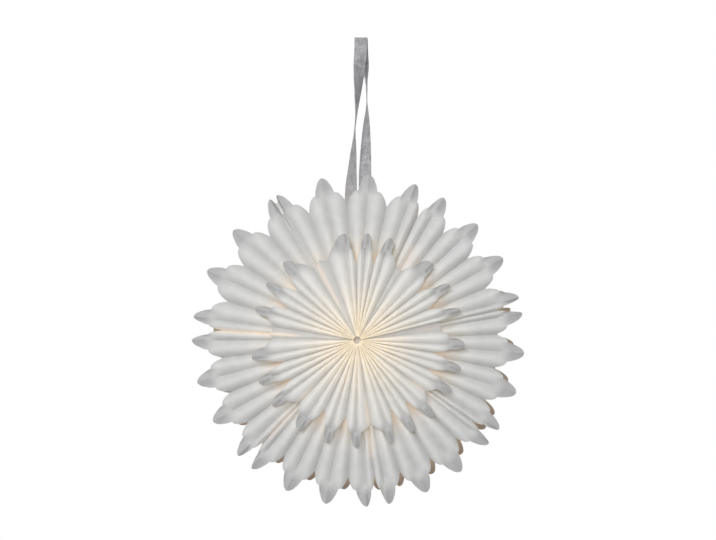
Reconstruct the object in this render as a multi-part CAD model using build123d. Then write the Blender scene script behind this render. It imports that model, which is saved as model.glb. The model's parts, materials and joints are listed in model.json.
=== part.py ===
from build123d import *
from math import atan2, cos, radians, sin, sqrt, tan
import os

# Pleated paper star pendant, hung on a ribbon loop, lit from inside by a battery lamp.
# Millimetres, +Z up. The origin is the inner top of the ribbon loop, where it hangs on a hook.
# The front faces -Y. Angles run clockwise from the top, seen from the front.
# "Depth" is the distance from the star's middle plane, towards the front or towards the rear.

# ---- where the star hangs ----
star_drop = 384.2
balance_depth = 5.1  # the ribbon is fixed above the point where the star balances

# ---- seams: seven panels to a rosette, opened by hand, so the sectors are uneven ----
large_seams = [329.3, 25.6, 77.8, 125.3, 173.2, 223.0, 274.2]
large_tip_to_seam = [1.3, 5.35, 2.75, 3.0, 3.9, 3.2, 4.1]
large_seam_radius = [193.0, 165.0, 172.0, 168.0, 165.0, 165.0, 165.0]
small_seams = [334.7, 31.1, 83.3, 126.9, 170.9, 222.9, 274.0]
small_tip_to_seam = [18.1, 13.1, 9.5, 8.2, 9.7, 9.8, 13.3]
small_seam_radius = [103.0, 98.5, 101.0, 101.0, 101.0, 101.0, 106.0]
closing_seam = 6  # the seam where the opened fan is pressed together
rear_turn = -3.5  # the rear paper is turned against the front paper

# ---- large rosette ----
large_petals = 4
large_tip_radius = 200.0
large_notch_radius = 179.5
large_cleft_radius = 165.0
large_notch_angle = 3.7
large_inner_reach = 62.0
large_pleat = 10.0
large_tip_lift = 0.5
large_lobe_bulge = 2.6
large_side_bulge = 2.3
large_side_reach = 20.0  # degrees

# ---- small rosette ----
small_petals = 3
small_tip_radius = 128.0
small_notch_radius = 109.5
small_cleft_radius = 91.5
small_notch_angle = 3.1
small_front_reach = 4.5
small_pleat = 9.0
small_tip_lift = 0.35
small_lobe_bulge = 2.2
small_side_bulge = 1.2
small_side_reach = 15.0  # degrees

# ---- how both rosettes are folded and cut ----
squeeze = 0.55  # share of a narrow side that its fold keeps from the tip
bulge_share = 0.3
flat_side_share = 1.5
flat_side_bulge = 1.0
shoulder_step = 2.0  # a shoulder stands at least this far outside its seam
cutter_margin = 2.5  # degrees past a seam
cutter_pole = 20.0
blank_overrun = 5.0

# ---- paper and cards ----
paper_thickness = 0.45
bunch_thickness = 1.2
valley_depth = 34.0
card_thickness = 0.8
card_outer_radius = 148.0
small_seam_gap = 1.0
pad_thickness = 1.0
pad_radius = 6.0
pad_blank = 8.0
pad_spots = [(55.0, 18.0), (55.0, -18.0), (110.0, 18.0), (110.0, -18.0)]
seat_slip = 0.02

# ---- backing rings, centre disc, collar ----
ring_inner_radius = 62.0
ring_outer_radius = 75.0
ring_thickness = 1.5
disc_radius = 8.0
collar_width = 14.0

# ---- lamp ----
lamp_radius = 24.0
lamp_wall = 1.6
slide_clearance = 0.06
sleeve_wall = 1.5
sleeve_length = 49.5
flange_overlap = 4.0
flange_thickness = 2.0
flange_rest_gap = 0.2
paper_to_flange = 3.0
cell_radius = 7.25
cell_length = 49.2
cell_nipple_radius = 2.7
cell_nipple_length = 1.2
cell_gap = 0.3
cell_raise = 4.6
cell_flips = [False, True, False]
cradle_gap = 0.08
cradle_thickness = 1.3
spring_length = 3.0
spring_base_radius = 4.6
spring_tip_radius = 2.8
contact_thickness = 0.4
contact_size = 9.0
contact_gap = 0.1
bulkhead_thickness = 2.0
boss_height = 2.0
boss_radius = 2.6
boss_ring_radius = 16.5
board_radius = 20.5
board_thickness = 1.6
emitter_count = 8
emitter_ring_radius = 11.0
emitter_size = 3.4
emitter_height = 1.2
screw_count = 3
screw_radius = 1.0
screw_head_radius = 1.9
screw_head_height = 1.4
screw_length = 5.0
screw_clearance = 0.1
skirt_length = 4.0
dome_wall = 1.3
dome_side_length = 9.0
dome_rise = 10.0

# ---- battery door, hinge and switch ----
door_radius = 21.0
door_gap = 0.3
door_floor = -8.0
pin_radius = 0.9
pin_clearance = 0.05
knuckle_radius = 1.8
knuckle_length = 5.0
knuckle_gap = 0.3
knuckle_count = 5
lip_width = 9.0
lip_height = 1.6
lip_depth = 1.0
switch_height = -15.5
switch_travel = 4.0
knob_width = 3.0
knob_height = 1.8
knob_stand = 2.4
slot_clearance = 0.2
switch_body_width = 10.0
switch_body_height = 4.5
switch_body_depth = 5.0

# ---- ribbon, bar, bracket and bridge ----
ribbon_width = 16.0
ribbon_thickness = 1.2
hem_spread = 0.2  # a sewn hem stands this much wider than the ribbon, each side
hook_radius = 5.0
bar_radius = 2.0
bar_clearance = 0.05
bar_rise = 14.0  # from the bridge to the bar
bar_overhang = 2.0
left_leg_foot = -13.8
right_leg_foot = 4.7
leg_closing = 1.2  # how fast the legs near each other from hook to bar
ear_gap = 0.8
ear_thickness = 3.0
ear_half_depth = 5.0
bracket_floor_thickness = 2.0
bracket_half_depth = 8.0
bridge_inset = 29.0  # from the cards' outer edges in to the bridge
bridge_thickness = 1.2
bridge_half_depth = 11.0
ribbon_front_leg = [
    # drop below the hook, place across, turn of its face
    (5.0, 0.0, 0.0), (20.0, -0.7, 3.0), (42.0, -2.0, 16.0), (63.0, -3.6, 38.0),
    (84.0, -5.2, 64.0), (104.5, -6.8, 90.0), (125.0, -8.6, 114.0), (146.0, -10.4, 136.0),
    (168.0, -12.0, 155.0), (194.0, -13.5, 172.0),
]
ribbon_rear_leg = [
    (5.0, 0.0, 0.0), (18.0, 0.6, 6.0), (31.0, 2.0, 30.0), (46.0, 4.2, 62.0),
    (62.0, 5.9, 90.0), (83.0, 6.5, 112.0), (104.0, 6.3, 130.0), (130.0, 5.6, 150.0),
    (156.0, 5.0, 168.0), (182.0, 4.7, 178.0),
]

# ---- derived depths: rosette, backing ring and small rosette lie on each other ----
rim_depth = valley_depth + paper_thickness
ring_seat = valley_depth + large_pleat + paper_thickness
small_valley = ring_seat + ring_thickness
bore_radius = lamp_radius + slide_clearance
sleeve_radius = bore_radius + sleeve_wall
card_inner_radius = sleeve_radius + seat_slip
collar_radius = bore_radius + collar_width
flange_radius = lamp_radius + flange_overlap
small_rear_reach = flange_radius + paper_to_flange
closing_half = pad_thickness / 2 + card_thickness
bridge_height = card_outer_radius - bridge_inset
bar_height = bridge_height + bar_rise
star_center = Pos(0, -balance_depth, -star_drop)


def save(shape, name):
    """Write one node in the hanging position."""
    export_step(star_center * shape, f"parts/{name}.step")


def at(radius, angle, depth, side):
    """Point at a radius, a clock angle and a depth; side is -1 at the front, +1 at the rear."""
    return Vector(radius * sin(radians(angle)), side * depth, radius * cos(radians(angle)))


def along(middle, reach, across, depth, side):
    """Point at a reach along a sector's middle line and a distance across it, clockwise."""
    x = reach * sin(radians(middle)) + across * cos(radians(middle))
    z = reach * cos(radians(middle)) - across * sin(radians(middle))
    return Vector(x, side * depth, z)


def cylinder_y(radius, start, end, x=0.0, z=0.0):
    """Cylinder along Y from one depth to another."""
    return Pos(x, (start + end) / 2, z) * Rot(90, 0, 0) * Cylinder(radius, end - start)


def tube_y(outer, inner, start, end):
    """Tube along Y round the star's middle line."""
    return cylinder_y(outer, start, end) - cylinder_y(inner, start - 1, end + 1)


def cylinder_x(radius, start, end, y, z):
    """Cylinder along X."""
    return Pos((start + end) / 2, y, z) * Rot(0, 90, 0) * Cylinder(radius, end - start)


def block(x, y, z):
    """Box from three (low, high) pairs."""
    size = Box(x[1] - x[0], y[1] - y[0], z[1] - z[0])
    return Pos((x[0] + x[1]) / 2, (y[0] + y[1]) / 2, (z[0] + z[1]) / 2) * size


def ruled(first, second):
    """Solid between two polygons with the same number of corners."""
    ends = [Wire.make_polygon(points, close=True) for points in (first, second)]
    return Solid.make_loft(ends, ruled=True)


# ---------------------------------------------------------------- paper panels


def petal_tips(start, end, start_gap, end_gap, petals):
    """Clock angles of the petal tips of one sector, spread evenly between its seams."""
    step = (end - end_gap - start - start_gap) / (petals - 1)
    return [start + start_gap + step * k for k in range(petals)]


def petal_bounds(tips, start, end):
    """Clock angles where the petals meet: the first seam, the clefts, the last seam."""
    return [start] + [(a + b) / 2 for a, b in zip(tips, tips[1:])] + [end]


def shoulder(tip, bound, notch):
    """Place of the fold between a tip and a bound: at the notch, or closer if squeezed."""
    reach = min(notch, squeeze * abs(bound - tip))
    return tip + reach if bound > tip else tip - reach


def fold_places(tips, bounds, reach, seam_halves, notch, tip_lift, notch_lift):
    """(place across, lift) of every fold of a sector at one reach along its middle line.
    Seams and clefts are valleys with no lift, and the seam edges stop short of the seam line."""
    middle = (bounds[0] + bounds[-1]) / 2
    halves = [seam_halves[0]] + [0.0] * (len(bounds) - 2) + [-seam_halves[1]]
    walls = []
    for angle, half in zip(bounds, halves):
        turn = radians(angle - middle)
        walls.append(reach * tan(turn) + half / cos(turn))
    folds = [(walls[0], 0.0)]
    for tip, before, after in zip(tips, walls, walls[1:]):
        turn = radians(tip - middle)
        across = reach * tan(turn)
        notch_width = reach * radians(notch) / cos(turn) ** 2
        folds.append((shoulder(across, before, notch_width), notch_lift))
        folds.append((across, tip_lift))
        folds.append((shoulder(across, after, notch_width), notch_lift))
        folds.append((after, 0.0))
    return folds


def pleated_blank(tips, bounds, side, valley, lift, reaches, inner_thickness, seam_halves, shape):
    """Zigzag sheet from its inner edge to a line past the petal tips, both square to the
    sector's middle line. Its inner face touches the valley depth along every valley."""
    middle = (bounds[0] + bounds[-1]) / 2
    sections = []
    for reach, thickness in zip(reaches, (inner_thickness, paper_thickness)):
        inner, outer = [], []
        for across, share in fold_places(tips, bounds, reach, seam_halves, *shape):
            depth = valley + share * lift
            inner.append(along(middle, reach, across, depth, side))
            outer.append(along(middle, reach, across, depth + thickness, side))
        sections.append(inner + outer[::-1])
    return ruled(*sections)


def bulged(a, b, bulge):
    """Arc from a to b that bulges away from the star's middle by the given height."""
    chord = b - a
    out = Vector(chord.Z, 0, -chord.X).normalized()
    if out.dot(a + b) < 0:
        out = out * -1
    across = abs((a + b).normalized().cross(chord).Y)
    return Edge.make_three_point_arc(a, (a + b) / 2 + out * min(bulge, bulge_share * across), b)


def scallops(tips, bounds, bound_radii, tip_radius, notch_radius, notch, bulges, side_reach):
    """Die-cut outline of a sector: a pointed lobe at each tip with a round shoulder each side.
    Wide sheet beside a seam runs on as a flatter edge past side_reach."""
    lobe_bulge, side_bulge = bulges
    stops = []
    for k, tip in enumerate(tips):
        before, after = bounds[k], bounds[k + 1]
        first, last = shoulder(tip, before, notch), shoulder(tip, after, notch)
        low_first = max(notch_radius, bound_radii[k] + shoulder_step)
        low_last = max(notch_radius, bound_radii[k + 1] + shoulder_step)
        if k == 0:
            stops.append((at(bound_radii[0], before, 0, 1), 0.0))
            if first - before > flat_side_share * side_reach:
                stops.append((at(bound_radii[0], first - side_reach, 0, 1), flat_side_bulge))
        stops.append((at(low_first, first, 0, 1), side_bulge))
        stops.append((at(tip_radius, tip, 0, 1), lobe_bulge))
        stops.append((at(low_last, last, 0, 1), lobe_bulge))
        if k == len(tips) - 1 and after - last > flat_side_share * side_reach:
            stops.append((at(bound_radii[-1], last + side_reach, 0, 1), side_bulge))
            stops.append((at(bound_radii[-1], after, 0, 1), flat_side_bulge))
        else:
            stops.append((at(bound_radii[k + 1], after, 0, 1), side_bulge))
    here = at(bound_radii[0], bounds[0] - cutter_margin, 0, 1)
    first = here
    edges = []
    for target, bulge in stops:
        if bulge:
            edges.append(bulged(here, target, bulge))
        else:
            edges.append(Edge.make_line(here, target))
        here = target
    last = at(bound_radii[-1], bounds[-1] + cutter_margin, 0, 1)
    pole = at(cutter_pole, (bounds[0] + bounds[-1]) / 2 + 180.0, 0, 1)
    for target in (last, pole, first):
        edges.append(Edge.make_line(here, target))
        here = target
    return Face(Wire(edges))


def panel(index, side, large):
    """One pleated, die-cut paper panel of the large or the small rosette."""
    seams = large_seams if large else small_seams
    gaps = large_tip_to_seam if large else small_tip_to_seam
    rim = large_seam_radius if large else small_seam_radius
    following = (index + 1) % len(seams)
    turn = rear_turn if side > 0 else 0.0
    start = seams[index] + turn
    end = seams[following] + turn
    if end < start:
        end += 360.0
    petals = large_petals if large else small_petals
    tips = petal_tips(start, end, gaps[index], gaps[following], petals)
    bounds = petal_bounds(tips, start, end)
    cleft = large_cleft_radius if large else small_cleft_radius
    radii = [rim[index]] + [cleft] * (petals - 1) + [rim[following]]
    if large:
        shape = (large_notch_angle, large_tip_lift, 1.0)
        halves = [closing_half if n == closing_seam else card_thickness / 2
                  for n in (index, following)]
        blank = pleated_blank(tips, bounds, side, valley_depth, large_pleat,
                              (large_inner_reach, large_tip_radius + blank_overrun),
                              paper_thickness, halves, shape)
        outline = scallops(tips, bounds, radii, large_tip_radius, large_notch_radius,
                           large_notch_angle, (large_lobe_bulge, large_side_bulge),
                           large_side_reach)
    else:
        shape = (small_notch_angle, small_tip_lift, 1.0)
        reach = small_front_reach if side < 0 else small_rear_reach
        inner = bunch_thickness if side < 0 else paper_thickness
        blank = pleated_blank(tips, bounds, side, small_valley, small_pleat,
                              (reach, small_tip_radius + blank_overrun),
                              inner, [small_seam_gap / 2] * 2, shape)
        outline = scallops(tips, bounds, radii, small_tip_radius, small_notch_radius,
                           small_notch_angle, (small_lobe_bulge, small_side_bulge),
                           small_side_reach)
    deep = small_valley + small_pleat + bunch_thickness + blank_overrun
    return blank & extrude(outline, amount=deep, dir=(0, side, 0))


# ---------------------------------------------------------------- cards and rings


def radial_sheet(seam, low, high, inner, outer, front=None, rear=None):
    """Sheet along a seam between two offsets from its line, twisted from the front rosette's
    seam to the rear one's, or straight within one rosette if only that depth pair is given."""
    corners = []
    for side, turn in ((-1, 0.0), (1, rear_turn)):
        angle = seam + turn
        along_seam = at(1.0, angle, 0, 1)
        across_seam = at(1.0, angle + 90.0, 0, 1)
        depth = Vector(0, side * valley_depth, 0)
        corners.append([depth + along_seam * r + across_seam * s
                        for r, s in ((inner, low), (outer, low), (outer, high), (inner, high))])
    if front is None and rear is None:
        return ruled(*corners)
    near = corners[0] if front else corners[1]
    side, depths = (-1, front) if front else (1, rear)
    shift = [Vector(0, side * (d - valley_depth), 0) for d in depths]
    return ruled(*[[p + s for p in near] for s in shift])


def seam_card(seam, low, high):
    """Card that holds the front and the rear paper apart and carries rings, collar and sleeve."""
    rims = (valley_depth, rim_depth)
    tabs = (rim_depth, ring_seat)
    card = radial_sheet(seam, low, high, card_inner_radius, card_outer_radius)
    for side in ("front", "rear"):
        card += radial_sheet(seam, low, high, card_inner_radius, card_outer_radius, **{side: rims})
        card += radial_sheet(seam, low, high, ring_inner_radius, ring_outer_radius, **{side: tabs})
    card += radial_sheet(seam, low, high, card_inner_radius, collar_radius, rear=tabs)
    return card


def closing_pads():
    """Adhesive pads between the two end cards, where the opened fan closes into a circle."""
    seam = large_seams[closing_seam]
    gap = radial_sheet(seam, -pad_thickness / 2, pad_thickness / 2,
                       card_inner_radius, card_outer_radius)
    pads = []
    for radius, depth in pad_spots:
        spot = at(radius, seam + rear_turn / 2, depth, 1)
        pad = Pos(*spot) * Rot(0, seam + rear_turn / 2 + 90.0, 0) * Rot(0, 90, 0)
        pads.append(pad * Cylinder(pad_radius, pad_blank) & gap)
    return Compound(children=pads)


# ---------------------------------------------------------------- ribbon and its hanger


def ribbon_leg(stations, side, leg_foot):
    """One leg of the ribbon, from the hook down into its hem, turning as it goes."""
    foot = star_drop - bar_height
    first = stations[0][0]
    sections = []
    for drop, across, turn in stations + [(foot, leg_foot, 180.0)]:
        share = (drop - first) / (foot - first)
        depth = side * (hook_radius + ribbon_thickness / 2) * (1.0 - share) ** leg_closing
        middle = Vector(across, depth, -drop)
        wide = Vector(cos(radians(turn)), sin(radians(turn)), 0) * (ribbon_width / 2)
        thick = Vector(-sin(radians(turn)), cos(radians(turn)), 0) * (ribbon_thickness / 2)
        corners = [middle + wide + thick, middle - wide + thick,
                   middle - wide - thick, middle + wide - thick]
        sections.append(Wire.make_polygon(corners, close=True))
    return Solid.make_loft(sections, ruled=True)


def hem(leg_foot):
    """Closed hem of one ribbon end, before the bar's hole is cut."""
    half = ribbon_width / 2 + hem_spread
    ends = (leg_foot - half, leg_foot + half)
    return cylinder_x(bar_radius + ribbon_thickness, *ends, 0, bar_height - star_drop)


def ribbon_loop():
    """The whole ribbon: a round fold over the hook, two turning legs and two hems."""
    half = ribbon_width / 2
    fold = cylinder_x(hook_radius + ribbon_thickness, -half, half, 0, -hook_radius)
    fold -= cylinder_x(hook_radius, -half - 1, half + 1, 0, -hook_radius)
    reach = hook_radius + ribbon_thickness + 1
    fold &= block((-half - 1, half + 1), (-reach, reach), (-hook_radius, reach))
    ribbon = fold + ribbon_leg(ribbon_front_leg, -1, left_leg_foot)
    ribbon += ribbon_leg(ribbon_rear_leg, 1, right_leg_foot)
    ribbon = ribbon + hem(left_leg_foot) + hem(right_leg_foot)
    ends = (left_leg_foot - ribbon_width, right_leg_foot + ribbon_width)
    return ribbon - cylinder_x(bar_radius, *ends, 0, bar_height - star_drop)


ear_left = left_leg_foot - ribbon_width / 2 - ear_gap
ear_right = right_leg_foot + ribbon_width / 2 + ear_gap
bracket_seat = bridge_height + bridge_thickness


def ribbon_bar():
    """Bar through both hems, turning in the bracket's ears."""
    start = ear_left - ear_thickness - bar_overhang
    end = ear_right + ear_thickness + bar_overhang
    return cylinder_x(bar_radius, start, end, balance_depth, bar_height)


def about_balance(half_depth):
    """Depth pair centred on the plane of the bar."""
    return (balance_depth - half_depth, balance_depth + half_depth)


def hanger_bracket():
    """Plate with two ears, each with a running hole for the bar."""
    start = ear_left - ear_thickness
    end = ear_right + ear_thickness
    floor_top = bracket_seat + bracket_floor_thickness
    bracket = block((start, end), about_balance(bracket_half_depth), (bracket_seat, floor_top))
    for low in (start, ear_right):
        high = low + ear_thickness
        bracket += block((low, high), about_balance(ear_half_depth), (floor_top, bar_height))
        bracket += cylinder_x(ear_half_depth, low, high, balance_depth, bar_height)
    hole = bar_radius + bar_clearance
    return bracket - cylinder_x(hole, start - 1, end + 1, balance_depth, bar_height)


def hanger_bridge():
    """Card between the two uppermost seam cards, cut to their twisted faces."""
    first, last = large_seams[0], large_seams[1]
    wedge = []
    for side, turn in ((-1, 0.0), (1, rear_turn)):
        left = [at(r, first + turn, valley_depth, side) + at(card_thickness / 2, first + turn + 90, 0, 1)
                for r in (ring_outer_radius, card_outer_radius)]
        right = [at(r, last + turn, valley_depth, side) - at(card_thickness / 2, last + turn + 90, 0, 1)
                 for r in (card_outer_radius, ring_outer_radius)]
        wedge.append(left + right)
    blank = block((-card_outer_radius, card_outer_radius), about_balance(bridge_half_depth),
                  (bridge_height, bracket_seat))
    return blank & ruled(*wedge)


# ---------------------------------------------------------------- lamp

wall_start = ring_seat + ring_thickness + flange_rest_gap
wall_end = wall_start + flange_thickness
cell_rear = wall_start - contact_thickness - contact_gap
cell_front = cell_rear - cell_length - cell_nipple_length
bulkhead_face = cell_front - spring_length
bulkhead_front = bulkhead_face - bulkhead_thickness
board_rear = bulkhead_front - boss_height
board_front = board_rear - board_thickness
skirt_front = bulkhead_front - skirt_length
lamp_bore = lamp_radius - lamp_wall
cell_circle = (2 * cell_radius + cell_gap) / sqrt(3)
cell_places = [(cell_circle * sin(radians(a)), cell_circle * cos(radians(a)) + cell_raise)
               for a in (0, 120, 240)]
cradle_top = cell_places[1][1] - cell_radius - cradle_gap
cradle_low = cradle_top - cradle_thickness
hinge_depth = wall_end + knuckle_radius
hinge_height = door_floor - knuckle_radius
screw_places = [(boss_ring_radius * sin(radians(a)), boss_ring_radius * cos(radians(a)))
                for a in [60 + 360 / screw_count * k for k in range(screw_count)]]
knuckle_pitch = knuckle_length + knuckle_gap
knuckle_starts = [(k - knuckle_count / 2) * knuckle_pitch + knuckle_gap / 2
                  for k in range(knuckle_count)]


def door_shape(radius, floor, start, end):
    """Round plate with a straight lower edge."""
    cut = block((-radius - 1, radius + 1), (start - 1, end + 1), (floor, radius + 1))
    return cylinder_y(radius, start, end) & cut


def knuckle(start, low_end, high_end, upper):
    """One hinge knuckle with its foot on the door (upper) or on the wall below it."""
    barrel = cylinder_x(knuckle_radius, start, start + knuckle_length, hinge_depth, hinge_height)
    heights = (hinge_height, high_end) if upper else (low_end, hinge_height)
    foot = block((start, start + knuckle_length), (wall_end, hinge_depth - pin_radius), heights)
    bore = cylinder_x(pin_radius + pin_clearance, start - 1, start + knuckle_length + 1,
                      hinge_depth, hinge_height)
    return barrel + foot - bore


def pod_housing():
    """Lamp housing: tube, bulkhead with screw bosses, cell cradle, rear wall and flange."""
    shell = tube_y(lamp_radius, lamp_bore, skirt_front, wall_start)
    shell += cylinder_y(lamp_bore, bulkhead_front, bulkhead_face)
    shell += cylinder_y(flange_radius, wall_start, wall_end)
    shell -= door_shape(door_radius + door_gap, door_floor - door_gap,
                        wall_start - 1, wall_end + 1)
    cradle = block((-lamp_bore, lamp_bore), (bulkhead_face, wall_start), (cradle_low, cradle_top))
    shell += cradle & cylinder_y(lamp_bore, bulkhead_face, wall_start)
    for x, z in screw_places:
        shell += cylinder_y(boss_radius, board_rear, bulkhead_front, x, z)
    for x, z in screw_places:
        shell -= cylinder_y(screw_radius, board_front, board_front + screw_length, x, z)
    for start in knuckle_starts[0::2]:
        shell += knuckle(start, hinge_height - knuckle_radius, hinge_height, False)
    half = knob_width / 2 + switch_travel / 2 + slot_clearance
    tall = knob_height / 2 + slot_clearance
    shell -= block((-half, half), (wall_start - 1, wall_end + 1),
                   (switch_height - tall, switch_height + tall))
    return shell


def battery_door():
    """Battery door with its hinge knuckles and a lip to open it by."""
    door = door_shape(door_radius, door_floor, wall_start, wall_end)
    for start in knuckle_starts[1::2]:
        door += knuckle(start, hinge_height, hinge_height + 2 * knuckle_radius, True)
    top = door_radius - lip_height
    lip = block((-lip_width / 2, lip_width / 2), (wall_end, wall_end + lip_depth),
                (top - lip_height, top))
    return door + lip


def door_hinge_pin():
    """Pin through all hinge knuckles."""
    start = knuckle_starts[0]
    end = knuckle_starts[-1] + knuckle_length
    return cylinder_x(pin_radius, start, end, hinge_depth, hinge_height)


def contact_tab(x, z, start, end):
    """Square contact plate behind or before one cell."""
    half = contact_size / 2
    return block((x - half, x + half), (start, end), (z - half, z + half))


def door_contacts():
    """Contact strips on the door's inner face: one bridges two cells, one serves the third."""
    (xa, za), (xb, zb), (xc, zc) = cell_places
    half = contact_size / 2
    depths = (wall_start - contact_thickness, wall_start)
    bridge = block((xc - half, xb + half), depths, (zb - half, zb + half))
    return Compound(children=[bridge, contact_tab(xa, za, *depths)])


def plus_end(flip):
    """Depths of a cell's body and nipple, whichever way round it lies."""
    if flip:
        return (cell_front + cell_nipple_length, cell_rear), (cell_front, cell_front + cell_nipple_length)
    return (cell_front, cell_rear - cell_nipple_length), (cell_rear - cell_nipple_length, cell_rear)


def battery_cells():
    """Three cells side by side, alternately turned."""
    cells = []
    for (x, z), flip in zip(cell_places, cell_flips):
        can, nipple = plus_end(flip)
        cells.append(cylinder_y(cell_radius, *can, x, z) + cylinder_y(cell_nipple_radius, *nipple, x, z))
    return Compound(children=cells)


def spring_contacts():
    """Flat-wound contact springs at the front ends of the cells that lie minus end first."""
    springs = []
    for (x, z), flip in zip(cell_places, cell_flips):
        if not flip:
            spring = Pos(x, (cell_front + bulkhead_face) / 2, z) * Rot(90, 0, 0)
            springs.append(spring * Cone(spring_base_radius, spring_tip_radius, spring_length))
    return Compound(children=springs)


def button_contact():
    """Stiff contact plate in front of the cell that lies plus end first."""
    x, z = cell_places[1]
    plate = contact_tab(x, z, bulkhead_face, bulkhead_face + contact_thickness)
    return plate + cylinder_y(cell_nipple_radius, bulkhead_face, cell_front, x, z)


def led_board():
    """Round light board on the bosses."""
    board = cylinder_y(board_radius, board_front, board_rear)
    for x, z in screw_places:
        board -= cylinder_y(screw_radius + screw_clearance, board_front - 1, board_rear + 1, x, z)
    return board


def led_emitters():
    """Light emitters in a ring on the board, and one in its middle."""
    half = emitter_size / 2
    depths = (board_front - emitter_height, board_front)
    emitters = [block((-half, half), depths, (-half, half))]
    for k in range(emitter_count):
        spot = at(emitter_ring_radius, 360.0 / emitter_count * k, 0, 1)
        turned = Pos(spot.X, 0, spot.Z) * Rot(0, 360.0 / emitter_count * k, 0)
        emitters.append(turned * block((-half, half), depths, (-half, half)))
    return Compound(children=emitters)


def board_screws():
    """Screws that hold the light board to the bosses."""
    screws = []
    for x, z in screw_places:
        head = cylinder_y(screw_head_radius, board_front - screw_head_height, board_front, x, z)
        screws.append(head + cylinder_y(screw_radius, board_front, board_front + screw_length, x, z))
    return Compound(children=screws)


def dome_arc(radius, start, rise):
    """Arc from the rim of a dome to its top, in the half plane right of the middle line."""
    ball = (radius ** 2 + rise ** 2) / (2 * rise)
    half = atan2(radius, ball - rise) / 2
    between = (ball * sin(half), start - rise + ball * (1 - cos(half)))
    return ThreePointArc((radius, start), between, (0, start - rise))


def diffuser_dome():
    """Milky dome over the emitters, plugged into the front of the housing."""
    rim = skirt_front - dome_side_length
    inner = lamp_bore - dome_wall
    top = rim - dome_rise
    plug = board_front - screw_clearance
    outside = Polyline((inner, rim), (inner, plug), (lamp_bore, plug), (lamp_bore, skirt_front),
                       (lamp_radius, skirt_front), (lamp_radius, rim))
    middle = Line((0, top), (0, top + dome_wall))
    inside = dome_arc(inner, rim, dome_rise - dome_wall)
    profile = make_face(outside + dome_arc(lamp_radius, rim, dome_rise) + middle + inside)
    return revolve(profile, Axis.Y, 360)


def switch_body():
    """Slide switch behind the rear wall."""
    half = switch_body_width / 2
    tall = switch_body_height / 2
    return block((-half, half), (wall_start - switch_body_depth, wall_start),
                 (switch_height - tall, switch_height + tall))


def switch_knob():
    """Knob of the slide switch, in its lit position."""
    low = -switch_travel / 2 - knob_width / 2
    return block((low, low + knob_width), (wall_start, wall_end + knob_stand),
                 (switch_height - knob_height / 2, switch_height + knob_height / 2))


# ---------------------------------------------------------------- write the nodes

os.makedirs("parts", exist_ok=True)

for index in range(len(large_seams)):
    for side, where in ((-1, "front"), (1, "rear")):
        save(panel(index, side, True), f"{where}_large_panel_{index + 1}")
        save(panel(index, side, False), f"{where}_small_panel_{index + 1}")

open_seams = [seam for index, seam in enumerate(large_seams) if index != closing_seam]
for index, seam in enumerate(open_seams):
    save(seam_card(seam, -card_thickness / 2, card_thickness / 2), f"seam_card_{index + 1}")
closing = large_seams[closing_seam]
save(seam_card(closing, -closing_half, -pad_thickness / 2), "end_card_lower")
save(seam_card(closing, pad_thickness / 2, closing_half), "end_card_upper")
save(closing_pads(), "closing_pads")

save(tube_y(ring_outer_radius, ring_inner_radius, -small_valley, -ring_seat), "front_backing_ring")
save(tube_y(ring_outer_radius, ring_inner_radius, ring_seat, small_valley), "rear_backing_ring")
save(cylinder_y(disc_radius, -small_valley, -ring_seat), "front_centre_disc")
save(tube_y(collar_radius, bore_radius, ring_seat, small_valley), "rear_collar")
save(tube_y(sleeve_radius, bore_radius, ring_seat - sleeve_length, ring_seat), "lamp_sleeve")

export_step(ribbon_loop(), "parts/ribbon_loop.step")
save(ribbon_bar(), "ribbon_bar")
save(hanger_bracket(), "hanger_bracket")
save(hanger_bridge(), "hanger_bridge")

save(pod_housing(), "pod_housing")
save(battery_door(), "battery_door")
save(door_hinge_pin(), "door_hinge_pin")
save(door_contacts(), "door_contacts")
save(battery_cells(), "battery_cells")
save(spring_contacts(), "spring_contacts")
save(button_contact(), "button_contact")
save(led_board(), "led_board")
save(led_emitters(), "led_emitters")
save(board_screws(), "board_screws")
save(diffuser_dome(), "diffuser_dome")
save(switch_body(), "switch_body")
save(switch_knob(), "switch_knob")
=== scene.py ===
"""Pleated paper star on a felt ribbon, lit from inside by a battery lamp.

Metres, +Z up, the front faces -Y.
"""

import json
from math import atan2, cos, degrees, exp, hypot, pi, radians, sin

import bmesh
import bpy
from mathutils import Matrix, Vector, noise

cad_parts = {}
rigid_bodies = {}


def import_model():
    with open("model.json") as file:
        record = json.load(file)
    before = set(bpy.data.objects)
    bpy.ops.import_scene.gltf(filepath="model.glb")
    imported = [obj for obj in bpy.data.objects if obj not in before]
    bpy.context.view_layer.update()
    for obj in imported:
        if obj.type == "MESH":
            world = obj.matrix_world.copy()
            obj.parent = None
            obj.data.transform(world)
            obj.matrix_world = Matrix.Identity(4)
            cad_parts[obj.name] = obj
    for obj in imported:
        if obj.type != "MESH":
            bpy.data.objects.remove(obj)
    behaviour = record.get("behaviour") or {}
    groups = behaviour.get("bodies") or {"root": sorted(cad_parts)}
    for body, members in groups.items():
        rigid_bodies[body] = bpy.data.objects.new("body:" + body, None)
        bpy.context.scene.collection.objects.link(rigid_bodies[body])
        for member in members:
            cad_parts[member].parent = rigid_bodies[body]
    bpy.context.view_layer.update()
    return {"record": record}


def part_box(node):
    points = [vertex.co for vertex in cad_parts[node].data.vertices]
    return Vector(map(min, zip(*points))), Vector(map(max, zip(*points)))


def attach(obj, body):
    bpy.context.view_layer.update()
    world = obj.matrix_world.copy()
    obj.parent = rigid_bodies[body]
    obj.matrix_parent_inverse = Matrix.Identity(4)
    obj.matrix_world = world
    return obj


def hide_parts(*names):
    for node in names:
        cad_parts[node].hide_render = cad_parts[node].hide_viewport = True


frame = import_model()
MM = 0.001

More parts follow.
